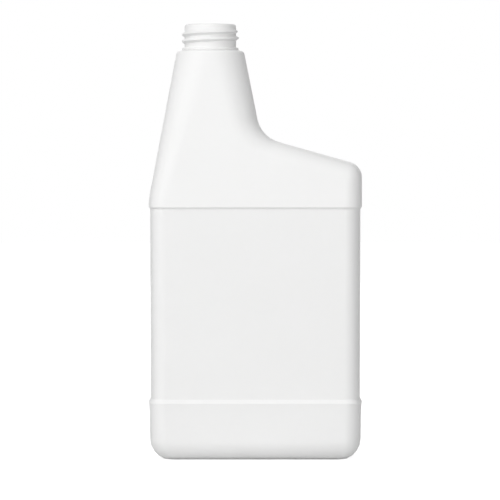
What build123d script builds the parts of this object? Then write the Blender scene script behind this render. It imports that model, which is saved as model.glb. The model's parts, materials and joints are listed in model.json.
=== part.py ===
"""Oblong blow-moulded bottle with an offset, tapering neck: one hollow piece."""
import os
from math import atan, cos, hypot, pi, sin, sqrt, tan

from build123d import *

# Body: flat front and back, ends that swell a little
body_width = 102.2
body_depth = 55.0
end_radius = 190.0
corner_radius = 7.7
wall = 0.9

# Base: rounded heel, flat foot and a sunken middle with a pinched seam
heel_radius = 9.3
heel_step = 0.55
heel_steps = 5
foot_corner_radius = 2.5
foot_width = 4.0
push_up_height = 1.8
push_up_slope = 1.6
push_up_corner_radius = 5.0
seam_margin = 2.2
seam_width = 1.2
seam_height = 0.4

# Heel band, with a thin lip along its upper edge
lip_height = 27.0
lip_reach = 3.7
lip_step = 0.31

# Recessed label panel between two ledges
lower_ledge_rise = 1.95
panel_length = 90.05
upper_ledge_rise = 0.95
panel_recess_low = 0.93
panel_recess_high = 0.73
ledge_land = 0.12

# Left flank, upright for a little way above the ledge and then leaning in
flank_rise = 3.55
flank_bend = 2.0

# Neck cone, left of the middle, with a rounded crown
neck_offset = 21.55
cone_rise = 73.235
cone_radius = 16.39
crown_radius = 1.9
crown_steps = 3

# Crook at the right of the cone, and the shoulder that falls from it to the end wall
crook_reach = 24.31
crook_rise = 33.56
crook_radius = 14.4
shoulder_rise = 19.97

# Rounding of the front and back edges, from the cone down to the shoulder's end
cone_edge_margin = 0.8
crook_start_round = 13.4
crook_end_round = 9.9
shoulder_end_margin = 0.6
crook_sections = 5

# Neck finish
neck_length = 12.65
neck_radius = 12.33
neck_wall = 1.68
rim_bevel = 1.0
rim_bevel_step = 0.29
rim_inner_bevel = 0.3
bead_reach = 1.17
bead_height = 1.5
bead_bevel = 0.35

# Thread
thread_pitch = 3.31
thread_height = 1.35
thread_upper_run = 1.5
thread_lower_run = 0.5
thread_crest_width = 0.6
thread_sink = 0.25
thread_drop = 7.3
thread_start_turns = -0.42
thread_end_turns = 1.32
thread_fade_turns = 0.14
thread_sections_per_turn = 10

# Heights that follow, from the lip up
panel_low = lip_height + lower_ledge_rise
panel_high = panel_low + panel_length
ledge_height = panel_high + upper_ledge_rise
flank_start = ledge_height + flank_rise
shoulder_height = ledge_height + shoulder_rise
crook_height = ledge_height + crook_rise
cone_height = ledge_height + cone_rise

# Places, radii and slopes that follow
neck_x = -neck_offset
crook_x = neck_x + crook_reach
bore_radius = neck_radius - neck_wall
bead_radius = neck_radius + bead_reach
cone_edge_round = cone_radius - cone_edge_margin
shoulder_end_round = corner_radius + shoulder_end_margin
front_lean = (body_depth / 2 - cone_radius) / cone_rise
crown_angle = atan(front_lean)
crown_height = cone_height + crown_radius * (1 - sin(crown_angle))
rim_height = crown_height + neck_length
left_lean = (body_width / 2 + neck_x - cone_radius) / (cone_height - flank_start)
right_angle = atan((crook_reach - cone_radius) / (cone_height - crook_height))
shoulder_angle = atan((crook_height - shoulder_height) / (body_width / 2 - crook_x))
crook_turn = pi / 2 - right_angle - shoulder_angle
reach = hypot(crook_reach, crook_rise) + crook_radius


def half_depth(z, inset):
    """Half the depth of the upper body, between its leaning front and back."""
    return body_depth / 2 - inset - (z - ledge_height) * front_lean


def swell(half, inset):
    """How far the middle of an end stands out from its corners."""
    bend = end_radius - inset
    return bend - sqrt(bend * bend - half * half)


def oblong(x, z, half_width, half, radius, inset):
    """Level section with flat front and back, swelling ends and round corners."""
    corner = half_width - swell(half, inset)
    with BuildSketch(Plane((x, 0, z))) as level:
        with BuildLine():
            Line((-corner, -half), (corner, -half))
            ThreePointArc((corner, -half), (half_width, 0), (corner, half))
            Line((corner, half), (-corner, half))
            ThreePointArc((-corner, half), (-half_width, 0), (-corner, -half))
        make_face()
        fillet(level.vertices(), radius)
    return level.sketch


def body_section(z, inset, radius):
    """Level section of the lower body."""
    return oblong(0, z, body_width / 2 - inset, body_depth / 2 - inset, radius, inset)


def heel_section(share, inset):
    """Level section of the rounded heel, from the foot at 0 to the upright wall at 1."""
    angle = pi / 2 * (1 - share)
    bend = heel_radius - inset
    pull = heel_step + heel_radius - bend * cos(angle)
    radius = foot_corner_radius + (corner_radius - foot_corner_radius - inset) * cos(angle)
    return body_section(heel_radius - bend * sin(angle), pull, radius)


def lower_body(inset):
    """Heel, lip, label panel and ledge, pulled in by the inset."""
    heel_shares = [step / heel_steps for step in range(heel_steps + 1)]
    sections = [heel_section(share, inset) for share in heel_shares]
    levels = [
        (lip_height - lip_reach, lip_step, corner_radius),
        (lip_height, 0, corner_radius),
        (panel_low, panel_recess_low, corner_radius - panel_recess_high),
        (panel_high, panel_recess_high, corner_radius - panel_recess_high),
        (ledge_height, ledge_land, corner_radius - ledge_land),
    ]
    sections += [body_section(z, inset + step, radius - inset) for z, step, radius in levels]
    with BuildPart() as lower:
        loft(sections, ruled=True)
    return lower.part


def flank_x(z, inset):
    """Left edge of the leaning flank at a height."""
    leaning = neck_x - cone_radius - (cone_height - z) * left_lean
    return leaning + inset / cos(atan(left_lean))


def left_section(z, x, inset):
    """Level section of the upper body, from its left edge to the neck's axis."""
    share = (z - ledge_height) / cone_rise
    radius = corner_radius + (cone_edge_round - corner_radius) * share
    half = half_depth(z, inset)
    corner = x + swell(half, inset)
    with BuildSketch(Plane.XY.offset(z)) as level:
        with BuildLine():
            ThreePointArc((corner, half), (x, 0), (corner, -half))
            Polyline((corner, -half), (neck_x, -half), (neck_x, half), (corner, half))
        make_face()
        fillet(level.vertices().group_by(Axis.X)[0], radius - inset)
    return level.sketch


def upper_left(inset):
    """Upper body left of the neck's axis: flat front, round at the top, square at the ledge."""
    upright = inset - body_width / 2
    leaning = [flank_start + flank_bend, cone_height - inset]
    sections = [left_section(z, upright, inset) for z in (ledge_height, flank_start - flank_bend)]
    sections += [left_section(z, flank_x(z, inset), inset) for z in leaning]
    with BuildPart() as left:
        loft(sections, ruled=True)
    return left.part


def fan_section(x, z, angle, radius, inset):
    """Section square to the right outline at a point, running into the body below the level."""
    run_x = -cos(angle)
    run_z = -sin(angle)
    corner = swell(half_depth(z, inset), inset)
    near = half_depth(z + corner * run_z, inset)
    far = half_depth(z + reach * run_z, inset)
    with BuildSketch(Plane((x, 0, z), x_dir=(run_x, 0, run_z), z_dir=(-run_z, 0, run_x))) as cut:
        with BuildLine():
            Polyline((corner, -near), (reach, -far), (reach, far), (corner, near))
            ThreePointArc((corner, near), (0, 0), (corner, -near))
        make_face()
        fillet(cut.vertices().group_by(Axis.X)[0], radius - inset)
    return cut.sketch


def upper_right(inset):
    """Upper body right of the neck's axis: flank, hollow crook, shoulder and end wall."""
    bend = crook_radius + inset
    tangent = crook_radius * tan(crook_turn / 2)
    centre_x = crook_x - tangent * sin(right_angle) + crook_radius * cos(right_angle)
    centre_z = crook_height + tangent * cos(right_angle) + crook_radius * sin(right_angle)
    crook = []
    for step in range(crook_sections):
        share = step / (crook_sections - 1)
        angle = right_angle + crook_turn * share
        radius = crook_start_round + (crook_end_round - crook_start_round) * share
        crook.append(
            fan_section(centre_x - bend * cos(angle), centre_z - bend * sin(angle), angle, radius, inset)
        )
    top_z = cone_height - inset
    top_x = neck_x + cone_radius - inset / cos(right_angle) + inset * tan(right_angle)
    top = fan_section(top_x, top_z, 0, cone_edge_round, inset)
    wall_x = body_width / 2 - inset
    end_x = wall_x + reach * sin(shoulder_angle)
    end_z = shoulder_height - inset / cos(shoulder_angle)
    end_z -= (end_x - body_width / 2) * tan(shoulder_angle)
    end = fan_section(end_x, end_z, pi / 2 - shoulder_angle, shoulder_end_round, inset)
    with BuildPart() as right:
        loft([top, crook[0]], ruled=True)
        loft(crook)
        loft([crook[-1], end], ruled=True)
        split(bisect_by=Plane.YZ.offset(neck_x), keep=Keep.TOP)
        with BuildSketch(Plane((wall_x - end_radius + inset, 0, ledge_height))):
            Circle(end_radius - inset)
        extrude(amount=cone_rise, mode=Mode.INTERSECT)
        end_wall = right.faces().sort_by(Axis.X)[-1]
        fillet(end_wall.edges().sort_by(Axis.Z)[1:], corner_radius - inset)
    return right.part


def push_up(grow):
    """Sunken middle of the base, grown by the wall for the inside."""
    rim = heel_step + heel_radius + foot_width - grow
    ceiling = rim + push_up_slope
    with BuildPart() as sunken:
        loft(
            [
                body_section(0, rim, push_up_corner_radius),
                body_section(push_up_height + grow, ceiling, push_up_corner_radius - push_up_slope),
            ],
            ruled=True,
        )
    return sunken.part


def bottle_form(inset):
    """The bottle's body as one solid, all its faces pulled in by the inset."""
    lower = lower_body(inset)
    left = upper_left(inset)
    right = upper_right(inset)
    sunken = push_up(inset)
    with BuildPart() as form:
        add(lower)
        add(left)
        add(right)
        add(sunken, mode=Mode.SUBTRACT)
    return form.part


def crown_section(angle):
    """Level section of the crown, where its rounding has turned to an angle."""
    inset = crown_radius * (cos(crown_angle) - cos(angle))
    z = cone_height + crown_radius * (sin(angle) - sin(crown_angle))
    half = cone_radius - inset
    return oblong(neck_x, z, half, half, cone_edge_round - inset, 0)


def thread_section(turns):
    """Section of the thread's ridge; towards both its ends the ridge sinks into the neck."""
    ends = min(turns - thread_start_turns, thread_end_turns - turns)
    share = min(ends / thread_fade_turns, 1)
    angle = (turns - 1 / 4) * 2 * pi
    z = rim_height - thread_drop + turns * thread_pitch
    crest = neck_radius + thread_height * share
    root = crest - thread_height - thread_sink
    with BuildSketch(Plane((neck_x, 0, z), (cos(angle), sin(angle), 0), (sin(angle), -cos(angle), 0))) as cut:
        with BuildLine():
            Polyline(
                (root, -thread_crest_width / 2 - thread_lower_run),
                (crest, -thread_crest_width / 2),
                (crest, thread_crest_width / 2),
                (root, thread_crest_width / 2 + thread_upper_run),
                close=True,
            )
        make_face()
    return cut.sketch


os.makedirs("parts", exist_ok=True)

outside = bottle_form(0)
inside = bottle_form(wall)

thread_turns = thread_end_turns - thread_start_turns
thread_steps = round(thread_turns * thread_sections_per_turn)
thread_stations = [thread_turns * step / thread_steps for step in range(thread_steps + 1)]
with BuildPart() as thread:
    loft([thread_section(thread_start_turns + station) for station in thread_stations])

neck_plane = Plane((neck_x, 0, 0), (1, 0, 0), (0, -1, 0))
neck_axis = Axis((neck_x, 0, 0), (0, 0, 1))
bead_top = crown_height + bead_height

crown_shares = [step / crown_steps for step in range(crown_steps + 1)]
crown_angles = [crown_angle + (pi / 2 - crown_angle) * share for share in crown_shares]
with BuildPart() as crown:
    loft([crown_section(angle) for angle in crown_angles], ruled=True)

with BuildPart() as bottle:
    add(outside)
    add(crown.part)
    # Bead and neck, turned about the neck's axis
    with BuildSketch(neck_plane):
        with BuildLine():
            Polyline(
                (0, crown_height),
                (bead_radius - bead_bevel, crown_height),
                (bead_radius, crown_height + bead_bevel),
                (bead_radius, bead_top - bead_bevel),
                (bead_radius - bead_bevel, bead_top),
                (neck_radius, bead_top),
                (neck_radius, rim_height - rim_bevel),
                (neck_radius - rim_bevel_step, rim_height - rim_bevel_step),
                (neck_radius - rim_bevel, rim_height),
                (0, rim_height),
                close=True,
            )
        make_face()
    revolve(axis=neck_axis)
    add(thread.part)
    # Inside, and the bore that opens it
    add(inside, mode=Mode.SUBTRACT)
    with BuildSketch(neck_plane):
        with BuildLine():
            Polyline(
                (0, rim_height),
                (bore_radius + rim_inner_bevel, rim_height),
                (bore_radius, rim_height - rim_inner_bevel),
                (bore_radius, cone_height - 2 * wall),
                (0, cone_height - 2 * wall),
                close=True,
            )
        make_face()
    revolve(axis=neck_axis, mode=Mode.SUBTRACT)
    # Pinched seam along the sunken base
    seam_inset = heel_step + heel_radius + foot_width + push_up_slope + seam_margin
    with BuildSketch(Plane.XY.offset(push_up_height - seam_height)):
        SlotOverall(body_width - 2 * seam_inset, seam_width)
    extrude(amount=seam_height + wall / 2)

bottle.part.label = "bottle"
export_step(bottle.part, "parts/bottle.step")
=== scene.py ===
"""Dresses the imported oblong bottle: its moulded white plastic, and a plain white stage to show it on."""
import json
from math import hypot, pi, radians

import bmesh
import bpy
from bpy.props import FloatProperty, FloatVectorProperty, PointerProperty
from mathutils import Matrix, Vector


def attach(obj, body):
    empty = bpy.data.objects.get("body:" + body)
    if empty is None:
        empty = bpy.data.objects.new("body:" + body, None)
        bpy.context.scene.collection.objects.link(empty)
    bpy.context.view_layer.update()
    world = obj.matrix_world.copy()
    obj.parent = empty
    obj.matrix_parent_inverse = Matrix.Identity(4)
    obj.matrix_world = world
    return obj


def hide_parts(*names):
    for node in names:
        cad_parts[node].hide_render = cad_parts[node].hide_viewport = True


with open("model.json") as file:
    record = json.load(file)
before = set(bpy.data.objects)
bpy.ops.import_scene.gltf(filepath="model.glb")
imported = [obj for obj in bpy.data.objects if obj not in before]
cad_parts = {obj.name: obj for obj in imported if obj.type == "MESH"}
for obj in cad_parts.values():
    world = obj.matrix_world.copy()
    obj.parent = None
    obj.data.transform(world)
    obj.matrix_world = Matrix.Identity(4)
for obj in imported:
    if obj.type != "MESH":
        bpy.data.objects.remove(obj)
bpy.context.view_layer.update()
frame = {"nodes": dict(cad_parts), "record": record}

bl_info = {
    "name": "Oblong Bottle",
    "version": (1, 0, 0),
    "blender": (4, 5, 0),
    "location": "View3D > Sidebar > Bottle",
    "description": "Finishes an oblong blow-moulded bottle and sets up its stage",
    "category": "Object",
}

MM = 0.001
SHELL = "bottle"

# The neck's sizes come from the part's record.
MOUNTS = {mount["name"]: mount for mount in frame["record"]["mounts"]}
BORE = MOUNTS["neck_bore"]
NECK_FOOT = BORE["pos_m"][2] - BORE["dims"]["length_mm"] * MM / 2
THREAD = MOUNTS["neck_thread"]
THREAD_CREST = THREAD["dims"]["r_mm"] * MM
THREAD_REACH = THREAD["dims"]["length_mm"] * MM / 2

# Each texture's scale is in blots to the metre.
CLOUD = {"Scale": 34.0, "Detail": 3.0}
SPECK = {"Scale": 420.0, "Detail": 2.0}
SAG = {"Scale": 20.0, "Detail": 1.0}
GRAIN = {"Scale": 2400.0, "Detail": 2.0}
PAPER = {"Scale": 3.0, "Detail": 2.0}

# How strongly the textures show in the plastic's colour, sheen and surface, and in the floor's tone.
CLOUD_SHARE = 0.7
CLOUD_GLOSS = 0.10
SPECK_GLOSS = 0.06
SAG_STRENGTH = 0.25
GRAIN_STRENGTH = 0.35
PAPER_SPREAD = 0.02

POLYTHENE_IOR = 1.51
POLYTHENE_SHINE = 0.1
WHITE = (1.0, 1.0, 1.0, 1.0)
SEEN_RAYS = ("Is Camera Ray", "Is Glossy Ray", "Is Transmission Ray")

# A Mix node has sockets for every kind of data, and these are the ones that mix colours.
MIX_SHARE = 0
MIX_FIRST = 6
MIX_SECOND = 7
MIX_RESULT = 2

# In millimetres, as a Blender camera counts it.
SENSOR_WIDTH = 36.0


class Wire:
    """A shader socket that takes part in Python sums."""

    def __init__(self, shader, socket):
        self.shader = shader
        self.socket = socket

    def reckon(self, operation, other):
        return self.shader.node("ShaderNodeMath", {"operation": operation}, {0: self, 1: other})

    def __add__(self, other):
        return self.reckon("ADD", other)

    def __mul__(self, other):
        return self.reckon("MULTIPLY", other)

    __radd__ = __add__
    __rmul__ = __mul__


class Shader:
    """Builds a node tree, one node at a time."""

    def __init__(self, tree):
        self.tree = tree
        tree.nodes.clear()

    def node(self, kind, settings=None, inputs=None, output=0):
        """Adds a node, sets it, feeds its sockets and gives back one of its outputs, if it has any."""
        made = self.tree.nodes.new(kind)
        for name, value in (settings or {}).items():
            setattr(made, name, value)
        for name, value in (inputs or {}).items():
            if isinstance(value, Wire):
                self.tree.links.new(value.socket, made.inputs[name])
            else:
                made.inputs[name].default_value = value
        return Wire(self, made.outputs[output]) if made.outputs else None


def new_material(name):
    """An empty material and the shader that fills it."""
    material = bpy.data.materials.new(name)
    material.use_nodes = True
    return material, Shader(material.node_tree)


def noise(shader, texture):
    """Soft random blots that stay put on their object."""
    place = shader.node("ShaderNodeTexCoord", output="Object")
    return shader.node("ShaderNodeTexNoise", None, {"Vector": place, **texture})


def between(shader, share, first, second):
    """A colour that lies between two others."""
    colours = {MIX_SHARE: share, MIX_FIRST: (*first, 1.0), MIX_SECOND: (*second, 1.0)}
    return shader.node("ShaderNodeMix", {"data_type": "RGBA"}, colours, output=MIX_RESULT)


def polythene(finish):
    """White blow-moulded polythene: slightly milky, satin, faintly uneven, with a fine mould grain."""
    material, shader = new_material("white_polythene")
    cloud = noise(shader, CLOUD)
    speck = noise(shader, SPECK)
    tint = between(shader, cloud * CLOUD_SHARE + speck * (1.0 - CLOUD_SHARE), finish.milk, finish.chalk)
    smoothest = finish.roughness - (CLOUD_GLOSS + SPECK_GLOSS) / 2
    satin = cloud * CLOUD_GLOSS + speck * SPECK_GLOSS + smoothest
    swell = shader.node(
        "ShaderNodeBump",
        None,
        {"Strength": SAG_STRENGTH, "Distance": finish.sag_depth, "Height": noise(shader, SAG)},
    )
    skin = shader.node(
        "ShaderNodeBump",
        None,
        {
            "Strength": GRAIN_STRENGTH,
            "Distance": finish.grain_depth,
            "Height": noise(shader, GRAIN),
            "Normal": swell,
        },
    )
    plastic = shader.node(
        "ShaderNodeBsdfPrincipled",
        None,
        {
            "Base Color": tint,
            "Roughness": satin,
            "Normal": skin,
            "IOR": POLYTHENE_IOR,
            "Specular IOR Level": POLYTHENE_SHINE,
        },
    )
    shader.node("ShaderNodeOutputMaterial", None, {"Surface": plastic})
    return material


def white_to_the_eye(shader, lit, bare):
    """Mixes in what the camera and clear reflections see in place of what lights the object."""
    seen = sum(shader.node("ShaderNodeLightPath", output=ray) for ray in SEEN_RAYS)
    return shader.node("ShaderNodeMixShader", None, {0: seen, 1: lit, 2: bare})


def white_floor(stage):
    """Matt white floor that reads as white but keeps the shadow under the bottle."""
    material, shader = new_material("white_floor")
    dull = (stage.floor_tone * (1.0 - PAPER_SPREAD),) * 3
    clean = (stage.floor_tone * (1.0 + PAPER_SPREAD),) * 3
    tint = between(shader, noise(shader, PAPER), dull, clean)
    paper = shader.node("ShaderNodeBsdfDiffuse", None, {"Color": tint})
    glow = shader.node("ShaderNodeEmission", None, {"Color": WHITE, "Strength": stage.floor_glow})
    bright = shader.node("ShaderNodeAddShader", None, {0: paper, 1: glow})
    shader.node("ShaderNodeOutputMaterial", None, {"Surface": white_to_the_eye(shader, paper, bright)})
    return material


def white_world(stage):
    """Even soft light, seen as white behind the bottle."""
    world = bpy.data.worlds.new("white_room")
    world.use_nodes = True
    shader = Shader(world.node_tree)
    room = shader.node("ShaderNodeBackground", None, {"Color": WHITE, "Strength": stage.room_light})
    paper = shader.node("ShaderNodeBackground", None, {"Color": WHITE})
    shader.node("ShaderNodeOutputWorld", None, {"Surface": white_to_the_eye(shader, room, paper)})
    return world


def add_object(scene, name, data):
    """Puts a mesh, a lamp or a camera into the scene, at the origin."""
    made = bpy.data.objects.new(name, data)
    scene.collection.objects.link(made)
    return made


def add_shape(scene, name, shape, material):
    """Turns a finished bmesh into an object of one material."""
    mesh = bpy.data.meshes.new(name)
    shape.to_mesh(mesh)
    shape.free()
    mesh.materials.append(material)
    return add_object(scene, name, mesh)


class BottleFinish(bpy.types.PropertyGroup):
    """Colours and texture of the plastic, and how its mesh is smoothed."""

    milk: FloatVectorProperty(
        name="Milk", description="Darker of the two whites", subtype="COLOR", size=3,
        default=(0.85, 0.85, 0.845),
    )
    chalk: FloatVectorProperty(
        name="Chalk", description="Lighter of the two whites", subtype="COLOR", size=3,
        default=(0.88, 0.88, 0.878),
    )
    roughness: FloatProperty(
        name="Roughness", description="Middle of the satin finish", subtype="FACTOR", min=0.0, max=1.0,
        default=0.48,
    )
    sag_depth: FloatProperty(
        name="Sag depth", description="Depth of the slow unevenness of the wall", unit="LENGTH",
        default=0.4 * MM,
    )
    grain_depth: FloatProperty(
        name="Grain depth", description="Depth of the fine mould grain", unit="LENGTH", default=0.03 * MM
    )
    weld: FloatProperty(
        name="Weld", description="Corners nearer than this become one", unit="LENGTH", default=0.001 * MM
    )
    body_crease: FloatProperty(
        name="Body crease", description="Edges of the body that turn more than this stay crisp",
        subtype="ANGLE", default=radians(23),
    )
    neck_crease: FloatProperty(
        name="Neck crease", description="Edges of the neck that turn more than this stay crisp",
        subtype="ANGLE", default=radians(50),
    )
    thread_height: FloatProperty(
        name="Thread height", description="From just inside the thread's root to its crest", unit="LENGTH",
        default=1.4 * MM,
    )
    thread_settle: FloatProperty(
        name="Thread settle", description="How far the thread's root is drawn down", unit="LENGTH",
        default=0.6 * MM,
    )


class StageSettings(bpy.types.PropertyGroup):
    """Camera, lamps and floor."""

    distance: FloatProperty(
        name="Camera distance", description="From the bottle's middle", unit="LENGTH", default=1703 * MM
    )
    height: FloatProperty(
        name="Camera height", description="Above the floor", unit="LENGTH", default=131.4 * MM
    )
    view_width: FloatProperty(
        name="View width", description="Width of the picture at the bottle", unit="LENGTH", default=240 * MM
    )
    aim: FloatVectorProperty(
        name="Aim", description="Point at the middle of the picture", subtype="TRANSLATION", size=3,
        default=(-2.55 * MM, 0.0, 99.3 * MM),
    )
    room_light: FloatProperty(
        name="Room light", description="Strength of the even light", min=0.0, default=0.3
    )
    key_light: FloatProperty(
        name="Key light", description="Power of the high lamp at the left", subtype="POWER", default=34.0
    )
    key_way: FloatVectorProperty(
        name="Key direction", description="From the bottle to the high lamp", subtype="DIRECTION", size=3,
        default=(-0.500, -0.500, 0.707),
    )
    front_light: FloatProperty(
        name="Front light", description="Power of the lamp in front", subtype="POWER", default=32.0
    )
    front_way: FloatVectorProperty(
        name="Front direction", description="From the bottle to the lamp in front", subtype="DIRECTION",
        size=3, default=(0.0, -0.940, 0.342),
    )
    back_light: FloatProperty(
        name="Back light", description="Power of the lamp behind", subtype="POWER", default=6.0
    )
    back_way: FloatVectorProperty(
        name="Back direction", description="From the bottle to the lamp behind", subtype="DIRECTION",
        size=3, default=(0.0, 0.940, 0.342),
    )
    lamp_size: FloatProperty(
        name="Lamp size", description="Side of each lamp", unit="LENGTH", default=1.8
    )
    lamp_distance: FloatProperty(
        name="Lamp distance", description="From the bottle to each lamp", unit="LENGTH", default=2.8
    )
    floor_tone: FloatProperty(
        name="Floor tone", description="How much light the floor throws back", subtype="FACTOR",
        min=0.0, max=1.0, default=0.75,
    )
    floor_glow: FloatProperty(
        name="Floor glow", description="How much whiter the floor looks than it lights", min=0.0,
        default=0.8,
    )
    floor_size: FloatProperty(
        name="Floor size", description="Side of the floor", unit="LENGTH", default=12.0
    )


class FinishShell(bpy.types.Operator):
    """Gives the moulded shell its plastic"""

    bl_idname = "oblong_bottle.finish_shell"
    bl_label = "Finish shell"

    def execute(self, context):
        finish = context.scene.bottle_finish
        shape = bmesh.new()
        shape.from_mesh(frame["nodes"][SHELL].data)
        bmesh.ops.remove_doubles(shape, verts=shape.verts, dist=finish.weld)
        self.settle_thread(shape, finish)
        self.smooth_faces(shape, finish)
        shell = add_shape(context.scene, "moulded_shell", shape, polythene(finish))
        evened = shell.modifiers.new("even_flats", "WEIGHTED_NORMAL")
        evened.keep_sharp = True
        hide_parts(SHELL)
        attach(shell, "root")
        return {"FINISHED"}

    def settle_thread(self, shape, finish):
        """Draws the thread's root down under its crest, so that both flanks slope as moulded ones do."""
        across, along, middle = THREAD["pos_m"]
        for corner in shape.verts:
            below_crest = THREAD_CREST - hypot(corner.co.x - across, corner.co.y - along)
            outside = below_crest < finish.thread_height
            if outside and abs(corner.co.z - middle) < THREAD_REACH:
                corner.co.z -= finish.thread_settle * below_crest / finish.thread_height

    def smooth_faces(self, shape, finish):
        """Shades all faces smoothly, but for crisp edges where they turn by more than the crease."""
        for face in shape.faces:
            face.smooth = True
        for edge in shape.edges:
            on_neck = min(corner.co.z for corner in edge.verts) > NECK_FOOT
            crease = finish.neck_crease if on_neck else finish.body_crease
            edge.smooth = edge.calc_face_angle(pi) < crease


class SetStage(bpy.types.Operator):
    """Adds the floor, the lamps, the room and the camera"""

    bl_idname = "oblong_bottle.set_stage"
    bl_label = "Set stage"

    def execute(self, context):
        scene = context.scene
        stage = scene.bottle_stage
        scene.view_settings.view_transform = "Standard"
        scene.world = white_world(stage)
        self.lay_floor(scene, stage)
        self.hang_lamp(scene, stage, "key", stage.key_light, stage.key_way)
        self.hang_lamp(scene, stage, "front", stage.front_light, stage.front_way)
        self.hang_lamp(scene, stage, "back", stage.back_light, stage.back_way)
        self.place_camera(scene, stage)
        return {"FINISHED"}

    def lay_floor(self, scene, stage):
        shape = bmesh.new()
        bmesh.ops.create_grid(shape, x_segments=1, y_segments=1, size=stage.floor_size / 2)
        floor = add_shape(scene, "floor", shape, white_floor(stage))

    def hang_lamp(self, scene, stage, name, power, direction):
        light = bpy.data.lights.new(name, "AREA")
        light.shape = "SQUARE"
        light.size = stage.lamp_size
        light.energy = power
        lamp = add_object(scene, name, light)
        way = Vector(direction).normalized()
        lamp.location = Vector(stage.aim) + way * stage.lamp_distance
        lamp.rotation_euler = way.to_track_quat("Z", "Y").to_euler()

    def place_camera(self, scene, stage):
        lens = bpy.data.cameras.new("camera")
        lens.sensor_width = SENSOR_WIDTH
        lens.lens = SENSOR_WIDTH * stage.distance / stage.view_width
        camera = add_object(scene, "camera", lens)
        aim = Vector(stage.aim)
        camera.location = (aim.x, aim.y - stage.distance, stage.height)
        camera.rotation_euler = (camera.location - aim).to_track_quat("Z", "Y").to_euler()
        scene.camera = camera


class BottlePanel(bpy.types.Panel):
    """Lists the bottle's steps and settings"""

    bl_idname = "VIEW3D_PT_oblong_bottle"
    bl_label = "Oblong Bottle"
    bl_space_type = "VIEW_3D"
    bl_region_type = "UI"
    bl_category = "Bottle"

    def draw(self, context):
        for step in STEPS:
            self.layout.operator(step.bl_idname)
        for settings in (context.scene.bottle_finish, context.scene.bottle_stage):
            for name in settings.bl_rna.properties.keys():
                if name not in ("rna_type", "name"):
                    self.layout.prop(settings, name)


STEPS = (FinishShell, SetStage)
CLASSES = (BottleFinish, StageSettings, *STEPS, BottlePanel)


def register():
    for part in CLASSES:
        bpy.utils.register_class(part)
    bpy.types.Scene.bottle_finish = PointerProperty(type=BottleFinish)
    bpy.types.Scene.bottle_stage = PointerProperty(type=StageSettings)


def unregister():
    del bpy.types.Scene.bottle_stage
    del bpy.types.Scene.bottle_finish
    for part in reversed(CLASSES):
        bpy.utils.unregister_class(part)


def main():
    register()
    bpy.ops.oblong_bottle.finish_shell()
    bpy.ops.oblong_bottle.set_stage()


if __name__ == "__main__":
    main()
